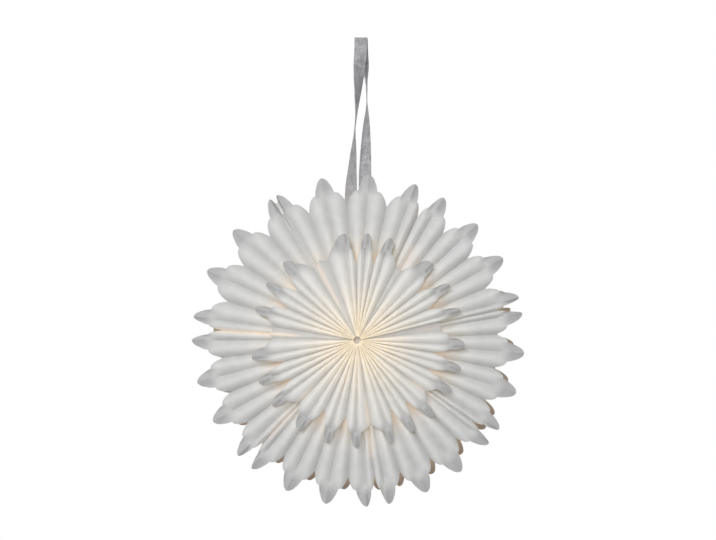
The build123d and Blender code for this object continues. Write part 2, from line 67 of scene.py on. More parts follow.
# The star's middle, read from the ring that the front paper is glued to.
ring_low, ring_high = (Vector(corner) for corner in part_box("front_backing_ring"))
rear_low, rear_high = (Vector(corner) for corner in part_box("rear_backing_ring"))
CENTRE = (ring_low + ring_high + rear_low + rear_high) / 4

# ---------------------------------------------------------------- camera

PIXELS = (716, 540)
PLANE = 45.0  # mm in front of the hook: the plane where the photograph's scale was measured
REACH = 900.0  # mm from the camera to that plane
PIXEL_MM = 1.2075  # mm for one pixel in that plane
AXIS_PIXEL = (422.0, 366.2)  # where the camera's own axis meets the picture
FROM_CENTRE = (77.0, -31.0)  # mm from the star's middle to the camera, across and up
SENSOR = 36.0  # mm

camera_data = bpy.data.cameras.new("camera")
camera = bpy.data.objects.new("camera", camera_data)
bpy.context.scene.collection.objects.link(camera)
camera.location = (CENTRE.x + FROM_CENTRE[0] * MM, -(PLANE + REACH) * MM, CENTRE.z + FROM_CENTRE[1] * MM)
camera.rotation_euler = (radians(90), 0, 0)
camera_data.sensor_fit = "HORIZONTAL"
camera_data.sensor_width = SENSOR
camera_data.lens = SENSOR * REACH / PIXEL_MM / PIXELS[0]
camera_data.shift_x = (PIXELS[0] / 2 - AXIS_PIXEL[0]) / PIXELS[0]
camera_data.shift_y = (AXIS_PIXEL[1] - PIXELS[1] / 2) / PIXELS[0]
camera_data.clip_start = 0.05
camera_data.clip_end = 50.0
bpy.context.scene.camera = camera
bpy.context.scene.view_settings.view_transform = "Standard"
bpy.context.scene.view_settings.look = "None"


# ---------------------------------------------------------------- materials


def linear(code):
    """Linear colour from an sRGB hex value."""
    parts = [int(code[k:k + 2], 16) / 255 for k in (1, 3, 5)]
    return [c / 12.92 if c <= 0.04045 else ((c + 0.055) / 1.055) ** 2.4 for c in parts] + [1.0]


def new_material(name):
    """Empty node material with its Principled shader."""
    material = bpy.data.materials.new(name)
    material.use_nodes = True
    return material, material.node_tree.nodes["Principled BSDF"]


def add(material, kind, settings=None, values=None, links=None):
    """Add one node: its settings, its socket values, and links as {input: (node, output)}."""
    node = material.node_tree.nodes.new(kind)
    for key, value in (settings or {}).items():
        setattr(node, key, value)
    for key, value in (values or {}).items():
        node.inputs[key].default_value = value
    for key, (source, output) in (links or {}).items():
        material.node_tree.links.new(source.outputs[output], node.inputs[key])
    return node


def link(material, source, output, target, socket):
    material.node_tree.links.new(source.outputs[output], target.inputs[socket])


def ramp(material, source, output, stops):
    """Colour ramp with (place, sRGB hex) stops."""
    node = add(material, "ShaderNodeValToRGB", links={"Fac": (source, output)})
    elements = node.color_ramp.elements
    while len(elements) < len(stops):
        elements.new(1.0)
    for element, (place, code) in zip(elements, stops):
        element.position = place
        element.color = linear(code)
    return node


PAINTED_FOLD_GREY = "#BEBEBF"
MIX_SHARE, MIX_FIRST, MIX_SECOND, MIX_RESULT = 0, 6, 7, 2  # sockets of a colour mix node
FLOAT_FIRST, FLOAT_SECOND, FLOAT_RESULT = 2, 3, 0  # sockets of a number mix node


def paper(name, shades, warm):
    """Uncoated 160 g wood-free paper, die-cut and machine-pleated: white with a faint cloudy
    formation and a dull tooth of short fibres; the lamp's light through it is painted on as a glow, and its
    shade as greyer, warmer colour."""
    material, shader = new_material(name)
    place = add(material, "ShaderNodeTexCoord")
    # Pulp clouds are about 12 mm wide, and the fibre tooth is drawn at 0.6 mm so that it shows.
    clouds = add(material, "ShaderNodeTexNoise", values={"Scale": 85.0, "Detail": 3.0, "Roughness": 0.55},
                 links={"Vector": (place, "Object")})
    colour = ramp(material, clouds, "Fac", [(0.3, shades[0]), (0.7, shades[1])])
    # Painted shade: the base colour is warmed towards the lamp's colour by the warm_shade attribute.
    shade = add(material, "ShaderNodeAttribute", {"attribute_name": "warm_shade"})
    warm_shaded = add(material, "ShaderNodeMix", {"data_type": "RGBA"})
    link(material, shade, "Fac", warm_shaded, MIX_SHARE)
    link(material, colour, "Color", warm_shaded, MIX_FIRST)
    warm_shaded.inputs[MIX_SECOND].default_value = linear(warm)
    # Painted shade: the base colour is greyed in the folds, where bounced light is lost from fold to fold,
    # and on the unlit tips beyond them.
    depth = add(material, "ShaderNodeAttribute", {"attribute_name": "fold_shade"})
    fold_shaded = add(material, "ShaderNodeMix", {"data_type": "RGBA", "blend_type": "MULTIPLY"})
    link(material, depth, "Fac", fold_shaded, MIX_SHARE)
    link(material, warm_shaded, MIX_RESULT, fold_shaded, MIX_FIRST)
    fold_shaded.inputs[MIX_SECOND].default_value = linear(PAINTED_FOLD_GREY)
    link(material, fold_shaded, MIX_RESULT, shader, "Base Color")
    tooth = add(material, "ShaderNodeTexNoise", values={"Scale": 1600.0, "Detail": 2.0, "Roughness": 0.6},
                links={"Vector": (place, "Object")})
    bump = add(material, "ShaderNodeBump", values={"Strength": 0.10, "Distance": 0.0002},
               links={"Height": (tooth, "Fac")})
    link(material, bump, "Normal", shader, "Normal")
    rough = add(material, "ShaderNodeMapRange", values={"To Min": 0.72, "To Max": 0.88},
                links={"Value": (tooth, "Fac")})
    link(material, rough, "Result", shader, "Roughness")
    shader.inputs["Specular IOR Level"].default_value = 0.25
    # Painted light: the lamp's glow through the paper is emission from the lamp_light attribute.
    glow = add(material, "ShaderNodeAttribute", {"attribute_name": "lamp_light"})
    link(material, glow, "Color", shader, "Emission Color")
    shader.inputs["Emission Strength"].default_value = 1.0
    return material


def card_stock(name, low, high):
    """Grey-white folding boxboard, cut with a die: smoother than the paper, with a faint grain."""
    material, shader = new_material(name)
    place = add(material, "ShaderNodeTexCoord")
    grain = add(material, "ShaderNodeTexNoise", values={"Scale": 320.0, "Detail": 4.0},
                links={"Vector": (place, "Object")})
    colour = ramp(material, grain, "Fac", [(0.35, low), (0.65, high)])
    link(material, colour, "Color", shader, "Base Color")
    bump = add(material, "ShaderNodeBump", values={"Strength": 0.15, "Distance": 0.0002},
               links={"Height": (grain, "Fac")})
    link(material, bump, "Normal", shader, "Normal")
    shader.inputs["Roughness"].default_value = 0.82
    return material


def felt(name, dark, middle, light):
    """Needled wool felt ribbon: grey melange of short fibres, matt, with a soft nap at its edge."""
    material, shader = new_material(name)
    place = add(material, "ShaderNodeTexCoord")
    # Fibre bundles are about 0.5 mm thick and 3 mm long, drawn a little coarse so that they show.
    stretch = add(material, "ShaderNodeMapping", values={"Scale": (1.0, 1.0, 0.45)},
                  links={"Vector": (place, "Object")})
    flecks = add(material, "ShaderNodeTexNoise", values={"Scale": 900.0, "Detail": 5.0, "Roughness": 0.75},
                 links={"Vector": (stretch, "Vector")})
    patches = add(material, "ShaderNodeTexNoise", values={"Scale": 120.0, "Detail": 3.0},
                  links={"Vector": (place, "Object")})
    both = add(material, "ShaderNodeMix", {"data_type": "FLOAT"}, values={"Factor": 0.35})
    link(material, flecks, "Fac", both, FLOAT_FIRST)
    link(material, patches, "Fac", both, FLOAT_SECOND)
    colour = ramp(material, both, FLOAT_RESULT, [(0.38, dark), (0.5, middle), (0.62, light)])
    link(material, colour, "Color", shader, "Base Color")
    bump = add(material, "ShaderNodeBump", values={"Strength": 0.5, "Distance": 0.0005},
               links={"Height": (flecks, "Fac")})
    link(material, bump, "Normal", shader, "Normal")
    shader.inputs["Roughness"].default_value = 0.95
    shader.inputs["Specular IOR Level"].default_value = 0.2
    shader.inputs["Sheen Weight"].default_value = 0.25
    shader.inputs["Sheen Roughness"].default_value = 0.6
    return material


def moulded(name, code, rough_low, rough_high, spark=900.0):
    """Injection-moulded ABS with a fine spark-eroded texture."""
    material, shader = new_material(name)
    place = add(material, "ShaderNodeTexCoord")
    texture = add(material, "ShaderNodeTexNoise", values={"Scale": spark, "Detail": 2.0},
                  links={"Vector": (place, "Object")})
    rough = add(material, "ShaderNodeMapRange", values={"To Min": rough_low, "To Max": rough_high},
                links={"Value": (texture, "Fac")})
    link(material, rough, "Result", shader, "Roughness")
    bump = add(material, "ShaderNodeBump", values={"Strength": 0.12, "Distance": 0.0001},
               links={"Height": (texture, "Fac")})
    link(material, bump, "Normal", shader, "Normal")
    shader.inputs["Base Color"].default_value = linear(code)
    shader.inputs["IOR"].default_value = 1.53
    return material


def lit(name, code, light, strength):
    """Milky moulded diffuser or light emitter, lit."""
    material = moulded(name, code, 0.4, 0.55)
    shader = material.node_tree.nodes["Principled BSDF"]
    shader.inputs["Emission Color"].default_value = linear(light)
    shader.inputs["Emission Strength"].default_value = strength
    return material


def steel(name, code, low, high, scale):
    """Drawn or stamped steel with fine lines along X from the tool."""
    material, shader = new_material(name)
    place = add(material, "ShaderNodeTexCoord")
    lines = add(material, "ShaderNodeMapping", values={"Scale": (0.05, 1.0, 1.0)},
                links={"Vector": (place, "Object")})
    drawn = add(material, "ShaderNodeTexNoise", values={"Scale": scale, "Detail": 3.0},
                links={"Vector": (lines, "Vector")})
    rough = add(material, "ShaderNodeMapRange", values={"To Min": low, "To Max": high},
                links={"Value": (drawn, "Fac")})
    link(material, rough, "Result", shader, "Roughness")
    shader.inputs["Base Color"].default_value = linear(code)
    shader.inputs["Metallic"].default_value = 1.0
    return material


PAPER = paper("uncoated_pleated_paper", ("#ECECEB", "#F5F5F4"), "#D0C7BD")
CARD = card_stock("die_cut_boxboard", "#E4E0DA", "#EEEBE6")
FELT = felt("grey_wool_felt_ribbon", "#98989D", "#BDBDC0", "#DCDCDF")
FINISHES = {
    "paper_white": PAPER,
    "card_white": CARD,
    "ribbon_grey": FELT,
    "bar_steel": steel("drawn_zinc_plated_steel", "#B9BBBD", 0.25, 0.42, 1500.0),
    "plastic_white": moulded("white_moulded_abs", "#E4E2DC", 0.42, 0.58),
    "diffuser_milk": lit("milky_moulded_diffuser", "#FFF3D8", "#FFC67A", 3.0),
    "board_white": moulded("white_solder_mask", "#EDEFEA", 0.3, 0.4),
    "emitter_warm": lit("warm_light_emitter", "#FFD27A", "#FFBE6A", 12.0),
    "contact_steel": steel("nickel_plated_spring_steel", "#C9C6BD", 0.2, 0.35, 2200.0),
    "cell_wrap": moulded("shrink_wrapped_cell", "#5B6064", 0.25, 0.4),
    "screw_steel": steel("blackened_screw_steel", "#8E9092", 0.3, 0.45, 2200.0),
    "switch_black": moulded("black_moulded_nylon", "#2E2E30", 0.45, 0.6),
    "pad_white": moulded("foam_adhesive_pad", "#EFEFEA", 0.8, 0.95, 1500.0),
}

for part in frame["record"]["subparts"]:
    for slot in bpy.data.objects[part["node"]].material_slots:
        slot.material = FINISHES[part["material_slot"]]
# The disc in the middle has nothing behind it to light it; its darker, warmer colour is painted shade.
for slot in bpy.data.objects["front_centre_disc"].material_slots:
    slot.material = card_stock("centre_disc_painted_shade_boxboard", "#E2D9D6", "#EAE2DF")


# ---------------------------------------------------------------- pleated paper

# A ring of paper has seven sectors. Each list runs clockwise from the closing seam at the top left,
# and a pair is (the sheet before the seam, the sheet after it). Angles are clock angles in degrees,
# lengths are millimetres, and a lift is a share of the pleat's depth: 0 in a fold, 1 on a crest.
#   seams, tip_gaps, seam_radii    each seam, from there to the nearest tips, the paper's edge there
#   edge_lifts, heights            lift of the sheet at its seam, and of the crest beside it
#   crests, folds, broad           from tip to crest, from seam to last fold, cut broad or not
#   petals, tip, notch, cleft      petals of a sector, and the radii of the die-cut edge
#   notch_angle                    from a petal's tip line to its notches
#   valley, pleat, inner           depth of the folds, height of the pleats, inner radius by side
#   seam_gap                       half the gap at a seam
#   cleft_lift, tip_lift, ridge    lift of the fold at a cleft and at a tip line, crease on the latter
#   lobe, rise_from                lift of a lobe's edge, its middle's extra, radii where it starts
#   lobe_round, side_round         how blunt the lobes and the petals' sides are cut
#   droop, droop_from, rows        how far lobes sink back, from which radius, rows of faces
#   unlit, fold_depth, tip_depth   width over which painted shade starts, painted shade of the folds and of the lobes
LARGE = {
    "seams": [329.3, 25.6, 77.8, 125.3, 173.2, 223.0, 274.2],
    "tip_gaps": [1.3, 5.35, 2.75, 3.0, 3.9, 3.2, 4.1],
    "seam_radii": [193.0, 165.0, 172.0, 168.0, 165.0, 165.0, 165.0],
    "edge_lifts": [(0.37, 0.37), (0.3, 0.5)] + [(0.5, 0.5)] * 5,
    "heights": [(0.4, 0.4)] + [(1.0, 1.0)] * 6,
    "crests": [(3.7, 3.7)] * 7, "folds": [(0.0, 0.0)] * 7, "broad": [(False, False)] * 7,
    "petals": 4, "tip": 200.8, "notch": 180.5, "cleft": 165.0, "notch_angle": 3.7,
    "valley": 34.0, "pleat": 10.0, "inner": {-1: 62.0, 1: 62.0}, "seam_gap": 0.08,
    "cleft_lift": 0.30, "tip_lift": 0.38, "lobe": (0.55, 0.42), "rise_from": (168.0, 188.0),
    "ridge": 0.12, "lobe_round": 2.2, "side_round": 2.2,
    "droop": 0.45, "droop_from": 164.0, "rows": 26,
    "unlit": 6.0, "fold_depth": 0.5, "tip_depth": 0.55,
}
SMALL = {
    "seams": [334.7, 31.1, 83.3, 126.9, 170.9, 222.9, 274.0],
    "tip_gaps": [18.1, 13.1, 9.5, 8.2, 9.7, 9.8, 13.3],
    "seam_radii": [106.0, 98.5, 101.0, 101.0, 101.0, 101.0, 106.0],
    "edge_lifts": [(0.45, 0.45), (0.35, 0.3)] + [(0.2, 0.2)] * 4 + [(0.4, 0.4)],
    "heights": [(1.0, 1.0)] * 7,
    "crests": [(4.1, 5.8), (3.6, 6.6), (2.4, 4.6), (3.1, 3.1), (3.4, 3.1), (5.4, 3.1), (5.0, 3.1)],
    "folds": [(6.0, 4.5), (3.0, 1.4), (5.6, 0.0)] + [(0.0, 0.0)] * 3 + [(2.5, 5.0)],
    "broad": [(True, True)] + [(False, False)] * 6,
    "petals": 3, "tip": 128.0, "notch": 109.5, "cleft": 91.5, "notch_angle": 3.1,
    "valley": 45.95, "pleat": 9.0, "inner": {-1: 4.5, 1: 31.0}, "seam_gap": 0.08,
    "cleft_lift": 0.2, "tip_lift": 0.3, "lobe": (0.5, 0.4), "rise_from": (104.0, 118.0),
    "ridge": 0.1, "lobe_round": 3.3, "side_round": 1.4,
    "droop": 0.45, "droop_from": 106.0, "rows": 28,
    "unlit": 9.0, "fold_depth": 0.58, "tip_depth": 0.62,
}
SECTORS = 7
REAR_TURN = -3.5  # the rear paper is turned a little against the front one
REAR_SHORT = 6.0  # the rear paper is opened a little less at the bottom than at the top
SQUEEZE = 0.55  # a narrow side has its crest at this share of its width from the tip
SIDE_STEPS = 7  # columns of faces from a fold to a crest
FOLD_STEPS = 4  # columns of faces from a seam to a last fold
TIP_STEPS = 7  # columns of faces from a crest to a tip line
SHEET = 0.34  # thickness of the paper as modelled
SEAT = 0.24  # the sheet's middle stands this far outside the valley depth
BROAD_NOTCH = 117.0  # a broad sheet beside a seam is cut from here down to its last fold
FOLD_RADIUS = 100.5  # where the cut edge meets a last fold
LEAST_RISE = 2.0  # a notch stands out at least this far past the edge at its seam
LOBE_BLEND = 2.5  # a lobe has its own form from this share of the way to the tip, as 1 / share
CREASE_POWER = 5  # a tip line's crease is sharp and narrow
CREASE_INNER = 0.4  # share of the crease inside the lobe
WAVE_SCALE, WAVE, WAVE_SEED = 0.012, 0.8, 3.0  # slow waves of hand-opened paper
CURL_SCALE, CURL, CURL_SEED = 7.0, 2.0, 5.0  # each lobe curls its own way
FULL_GAP_RADIUS = 90.0  # the seams' gap closes inwards from here
SEAM_SHARE = 0.9  # columns with more of the seam gap than this are a sheet's cut edge
PARTING = 0.35  # half the width by which the closing seam stands open near the rim
PARTS_FROM, PARTS_TO = (150.0, 166.0), (182.0, 192.0)
SHARP_EDGE = radians(16)  # a crease or cut edge from here on

# Painted light where the lamp shines through an opened seam, as
# (angle, half width in degrees, from radius, to radius, strength).
LEAKS_SMALL = [
    (331.8, 1.7, 34, 112, 0.27), (274.3, 1.3, 60, 122, 0.36), (172.4, 1.2, 60, 112, 0.24),
    (80.3, 2.0, 60, 108, 0.07), (224.0, 1.3, 66, 108, 0.14), (127.3, 1.3, 66, 108, 0.14),
]
LEAKS_LARGE = [
    (274.2, 1.0, 90, 186, 0.26), (223.0, 2.2, 105, 165, 0.08), (31.0, 3.0, 90, 140, 0.08),
    (173.0, 2.0, 95, 150, 0.10), (333.0, 2.5, 90, 125, 0.10),
]
LEAK_WEAK, LEAK_STRONG = linear("#F4B878"), linear("#FFF0C4")
LEAK_STARTS, LEAK_ENDS = 22.0, 16.0  # mm over which a leak comes up and dies away
# The lamp's own light, painted on the paper as a glow, in linear red, green and blue.
CENTRE_GLOW = (0.145, 0.10, 0.045)  # on the crests near the lamp
CENTRE_REACH = 60.0
DISC_SHADOW, DISC_REACH = 0.35, 14.0  # the centre disc takes this share of it away
CREST_GAIN, CREST_POWER = 1.9, 1.5  # less light comes out of a fold than off a crest
THROUGH_GLOW = (0.085, 0.078, 0.062)  # through the small paper's bare sheet
THROUGH_ENDS = (92.0, 114.0)
THROUGH_FOLD, THROUGH_CREST = 0.7, 0.5
BEHIND_GLOW = (0.075, 0.07, 0.056)  # on the large paper, under the small one's edge
BEHIND_ENDS = (112.0, 152.0)
CLEFT_GLOW = (0.13, 0.07, 0.032)  # warm spots behind the small paper's clefts
CLEFT_PLACE, CLEFT_LONG, CLEFT_WIDE = 100.0, 11.0, 2.8  # radius and length in mm, width in degrees
INSIDE_GLOW = (0.19, 0.16, 0.115)  # on the inner faces
INSIDE_TIP_GLOW = (0.075, 0.05, 0.034)
INSIDE_TIPS = (172.0, 190.0)
# Painted shade: where little room light comes, the paper's base colour takes this share of the lamp's
# colour.
WARM_RING, WARM_RING_PLACE, WARM_RING_WIDE = 0.10, 110.0, 16.0
WARM_CLEFT = 0.30
WARM_FOLD, WARM_FOLD_ENDS = 0.10, (10.0, 90.0)
# The petal before the second seam folds away into the star between these angles, and its shade there is
# painted into its colour.
TUCKED_PAINTED_SHADE, TUCKED_FROM, TUCKED_TO, TUCKED_END = 0.16, 20.6, 24.0, 25.6
GREY_PAST_NOTCH = 5.0  # the tips are fully greyed by painted shade this far past the notches


def falloff(value, low, high):
    """1 below low, 0 above high, eased between."""
    share = min(1.0, max(0.0, (value - low) / (high - low)))
    return 1.0 - share * share * (3.0 - 2.0 * share)


def turned(angle, other):
    """Difference of two clock angles, from -180 to 180."""
    return (angle - other + 180.0) % 360.0 - 180.0


def cleft_light(radius, angle):
    """How near a place of the large paper is to one of the small paper's clefts, from 0 to 1."""
    near = min(abs(turned(angle, cleft)) for cleft in SMALL_CLEFTS)
    return exp(-((radius - CLEFT_PLACE) / CLEFT_LONG) ** 2 - (near / CLEFT_WIDE) ** 2)


def lamp_light(large, side, inside, radius, angle, lift):
    """Linear red, green and blue of the lamp's light painted as a glow at one place of the paper."""
    if inside:
        tips = 1.0 - falloff(radius, *INSIDE_TIPS)
        return [near + (far - near) * tips for near, far in zip(INSIDE_GLOW, INSIDE_TIP_GLOW)]
    if large:
        behind = falloff(radius, *BEHIND_ENDS)
        cleft = cleft_light(radius, angle)
        light = [behind * b + cleft * c for b, c in zip(BEHIND_GLOW, CLEFT_GLOW)]
    else:
        height = min(1.0, max(0.0, lift))
        disc = 1.0 - DISC_SHADOW * exp(-(radius / DISC_REACH) ** 2)
        middle = exp(-(radius / CENTRE_REACH) ** 3) * disc
        crest = CREST_GAIN * height ** CREST_POWER
        through = falloff(radius, *THROUGH_ENDS) * (THROUGH_FOLD + THROUGH_CREST * height)
        light = [crest * middle * c + through * t for c, t in zip(CENTRE_GLOW, THROUGH_GLOW)]
    if side < 0:
        for leak, half, low, high, strength in LEAKS_LARGE if large else LEAKS_SMALL:
            away = turned(angle, leak) / half
            ends = (1.0 - falloff(radius, low, low + LEAK_STARTS)) * falloff(radius, high - LEAK_ENDS, high)
            here = strength * ends * exp(-away * away)
            light = [a + here * (weak + (strong - weak) * strength)
                     for a, weak, strong in zip(light, LEAK_WEAK, LEAK_STRONG)]
    return [min(1.0, c) for c in light]


def warm_shade(large, side, inside, radius, angle, lift):
    """Share of the lamp's own colour painted into the paper's base colour as warm shade where little room
    light reaches it.
    """
    # The inner faces take the full painted warm shade.
    if inside:
        return 1.0
    if large:
        ring = exp(-((radius - WARM_RING_PLACE) / WARM_RING_WIDE) ** 2)
        shade = WARM_RING * ring + WARM_CLEFT * cleft_light(radius, angle)
        if side < 0 and TUCKED_FROM < angle < TUCKED_END:
            shade += TUCKED_PAINTED_SHADE * (1.0 - falloff(angle, TUCKED_FROM, TUCKED_TO))
        return min(1.0, shade)
    deep = max(0.0, 1.0 - lift)
    return min(1.0, WARM_FOLD * deep * deep * (1.0 - falloff(radius, *WARM_FOLD_ENDS)))


def fold_shade(ring, radius, lift):
    """How much painted shade greys a place: 0 on a crest, more in a fold, most on the tips beyond the
    notches.
    """
    deep = min(1.0, max(0.0, 1.0 - lift) / (1.0 - ring["cleft_lift"]))
    beyond = 1.0 - falloff(radius, ring["notch"] - ring["unlit"], ring["notch"] + GREY_PAST_NOTCH)
    return min(1.0, ring["fold_depth"] * deep * (1.0 - beyond) + ring["tip_depth"] * beyond)


def petal_tips(start, end, start_gap, end_gap, petals):
    """Clock angles of the petal tips of one sector, spread evenly between its seams."""
    step = (end - end_gap - start - start_gap) / (petals - 1)
    return [start + start_gap + step * k for k in range(petals)]


def ring_tips(ring, index):
    """Seams either side of one sector, in degrees, and the petal tips between them."""
    start, end = ring["seams"][index], ring["seams"][(index + 1) % SECTORS]
    if end < start:
        end += 360.0
    gaps = ring["tip_gaps"]
    return start, end, petal_tips(start, end, gaps[index], gaps[(index + 1) % SECTORS], ring["petals"])


SMALL_CLEFTS = [(a + b) / 2 for index in range(SECTORS)
                for tips in [ring_tips(SMALL, index)[2]] for a, b in zip(tips, tips[1:])]


def side_columns(ring, bound, bound_radius, tip, edge_lift, height, crest, fold, broad):
    """Columns from a bound to a tip: (angle, outer radius, lift, share of the way to the tip,
    share of the seam gap). A sheet with a fold dips there before it rises to its crest."""
    reach = min(crest, SQUEEZE * abs(bound - tip))
    sign = 1 if bound > tip else -1
    shoulder = tip + sign * reach
    notch = BROAD_NOTCH if broad else max(ring["notch"], bound_radius + LEAST_RISE)
    strip = fold / abs(bound - shoulder)
    dip = ring["cleft_lift"] if fold else edge_lift
    dip_radius = min(bound_radius, FOLD_RADIUS) if fold else bound_radius
    stops = [k / FOLD_STEPS * strip for k in range(FOLD_STEPS)] if fold else []
    stops += [strip + (1 - strip) * k / SIDE_STEPS for k in range(SIDE_STEPS)]
    columns = []
    for t in stops:  # 0 at the bound, 1 at the shoulder
        if t < strip:
            down = t / strip
            outer = bound_radius + (dip_radius - bound_radius) * down
            lift = edge_lift + (dip - edge_lift) * down
        else:
            up = (t - strip) / (1 - strip)
            outer = notch - (notch - dip_radius) * (1 - up) ** ring["side_round"]
            lift = dip + (height - dip) * sin(up * pi / 2)
        columns.append((bound + (shoulder - bound) * t, outer, lift, 0.0, 1 - t))
    for k in range(TIP_STEPS):
        t = k / TIP_STEPS  # 0 at the shoulder, 1 at the tip
        angle = shoulder + (tip - shoulder) * t
        outer = ring["tip"] - (ring["tip"] - notch) * (1 - t) ** ring["lobe_round"]
        lift = ring["tip_lift"] + (height - ring["tip_lift"]) * cos(t * pi / 2)
        columns.append((angle, outer, lift, t, 0.0))
    return columns


def sector_columns(ring, index, side):
    """All columns of one sector, clockwise."""
    following = (index + 1) % SECTORS
    turn = REAR_TURN if side > 0 else 0.0
    start, end, tips = ring_tips(ring, index)
    bounds = [start] + [(a + b) / 2 for a, b in zip(tips, tips[1:])] + [end]
    between = ring["petals"] - 1
    radii = [ring["seam_radii"][index]] + [ring["cleft"]] * between + [ring["seam_radii"][following]]
    edge_lifts = ring["edge_lifts"]
    lifts = [edge_lifts[index][1]] + [ring["cleft_lift"]] * between + [edge_lifts[following][0]]
    usual = {"heights": 1.0, "crests": ring["notch_angle"], "folds": 0.0, "broad": False}
    forms = list(zip(*([ring[key][index][1], *([value] * between), ring[key][following][0]]
                       for key, value in usual.items())))
    last = len(tips) - 1
    columns = []
    for k, tip in enumerate(tips):
        before, after = (side_columns(ring, bounds[n], radii[n], tip, lifts[n], *forms[n])
                         for n in (k, k + 1))
        # Only the sheet beside a seam stops short of its bound.
        before = [(a, r, l, t, g if k == 0 else 0.0) for a, r, l, t, g in before]
        after = [(a, r, l, t, -g if k == last else 0.0) for a, r, l, t, g in after]
        columns += before + [(tip, ring["tip"], ring["tip_lift"], 1.0, 0.0)] + after[:0:-1]
        if k == last:
            columns.append(after[0])
    return [(angle + turn, *rest) for angle, *rest in columns]


def bound_at(ring, index, gap):
    """Seam that the columns with a seam gap of this sign belong to."""
    return ring["seams"][index if gap > 0 else (index + 1) % SECTORS]


def paper_panel(ring, index, side):
    """One pleated, die-cut paper sector, as a thin closed sheet."""
    large = ring is LARGE
    columns = sector_columns(ring, index, side)
    rows = ring["rows"]
    shape = bmesh.new()
    bmesh.ops.create_grid(shape, x_segments=len(columns) - 1, y_segments=rows, size=0.5)
    lifts = shape.verts.layers.float.new("lift")
    seam_edge = shape.verts.layers.float.new("seam_edge")
    for vertex in shape.verts:
        column = round((vertex.co.x + 0.5) * (len(columns) - 1))
        share = vertex.co.y + 0.5
        angle, outer, lift, to_tip, gap = columns[column]
        if side > 0:
            outer -= REAR_SHORT * (1.0 - cos(radians(angle))) / 2
        inner = ring["inner"][side]
        radius = inner + (outer - inner) * share
        # Inwards a petal dips along its middle line. Past the notches its lobe rises to that line.
        rise = (1.0 - falloff(radius, *ring["rise_from"])) * min(1.0, LOBE_BLEND * to_tip)
        edge_of_lobe, ridge_of_lobe = ring["lobe"]
        lift += (edge_of_lobe + ridge_of_lobe * to_tip - lift) * rise
        lift += ring["ridge"] * to_tip ** CREASE_POWER * (CREASE_INNER + (1.0 - CREASE_INNER) * rise)
        beyond = max(0.0, radius - ring["droop_from"]) / (ring["tip"] - ring["droop_from"])
        lift -= ring["droop"] * beyond * beyond
        vertex[lifts] = lift
        vertex[seam_edge] = abs(gap)
        depth = ring["valley"] + SEAT + lift * ring["pleat"]
        right, up = sin(radians(angle)), cos(radians(angle))
        wave = Vector((radius * right * WAVE_SCALE, radius * up * WAVE_SCALE, side * WAVE_SEED))
        curl = Vector((radians(angle) * CURL_SCALE, index, side * CURL_SEED))
        depth += lift * WAVE * noise.noise(wave)
        depth += lift * CURL * beyond * beyond * noise.noise(curl)
        # The closing seam parts a little towards the rim, where nothing pulls it shut.
        edge = gap * ring["seam_gap"] * min(1.0, radius / FULL_GAP_RADIUS)
        if large and gap and ring["seams"][0] == bound_at(ring, index, gap):
            edge += gap * PARTING * (1.0 - falloff(radius, *PARTS_FROM)) * falloff(radius, *PARTS_TO)
        x = radius * right + edge * up
        z = radius * up - edge * right
        vertex.co = (CENTRE.x + x * MM, CENTRE.y + side * depth * MM, CENTRE.z + z * MM)
    bmesh.ops.recalc_face_normals(shape, faces=shape.faces[:])
    outwards = sum((face.normal.y for face in shape.faces)) * side
    if outwards < 0:
        bmesh.ops.reverse_faces(shape, faces=shape.faces[:])
    bmesh.ops.translate(shape, verts=shape.verts[:], vec=(0, side * SHEET / 2 * MM, 0))
    bmesh.ops.solidify(shape, geom=shape.faces[:], thickness=SHEET * MM)
    bmesh.ops.recalc_face_normals(shape, faces=shape.faces[:])
    shape.normal_update()
    for face in shape.faces:
        face.smooth = True
    for edge in shape.edges:
        if len(edge.link_faces) == 2 and edge.calc_face_angle() > SHARP_EDGE:
            edge.smooth = False
    where = "front" if side < 0 else "rear"
    size = "large" if large else "small"
    # Painted light and shade at each point: the lamp's glow, the warm shade and the grey of the folds.
    light = shape.verts.layers.float_color.new("lamp_light")
    shade = shape.verts.layers.float.new("warm_shade")
    folds = shape.verts.layers.float.new("fold_shade")
    turn = REAR_TURN if side > 0 else 0.0
    for vertex in shape.verts:
        x, z = (vertex.co.x - CENTRE.x) / MM, (vertex.co.z - CENTRE.z) / MM
        radius, angle = hypot(x, z), (degrees(atan2(x, z)) - turn) % 360.0
        inside = vertex.normal.y * side < 0 and vertex[seam_edge] < SEAM_SHARE
        vertex[light] = lamp_light(large, side, inside, radius, angle, vertex[lifts]) + [1.0]
        vertex[shade] = warm_shade(large, side, inside, radius, angle, vertex[lifts])
        vertex[folds] = fold_shade(ring, radius, vertex[lifts])
    mesh = bpy.data.meshes.new(f"{where}_{size}_paper_{index + 1}")
    shape.to_mesh(mesh)
    shape.free()
    mesh.materials.append(PAPER)
    piece = bpy.data.objects.new(mesh.name, mesh)
    bpy.context.scene.collection.objects.link(piece)
    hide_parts(f"{where}_{size}_panel_{index + 1}")
    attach(piece, "star")
    return piece


for ring in (LARGE, SMALL):
    for side in (-1, 1):
        for index in range(SECTORS):
            paper_panel(ring, index, side)


# ---------------------------------------------------------------- felt ribbon

RIBBON_WIDE = 16.0
RIBBON_THICK = 1.2
HOOK = 5.0  # inside radius of the fold over the hook
BAR = 2.0  # radius of the bar in the hems
bar_low, bar_high = (Vector(corner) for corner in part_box("ribbon_bar"))
BAR_Z = (bar_low.z + bar_high.z) / 2 / MM
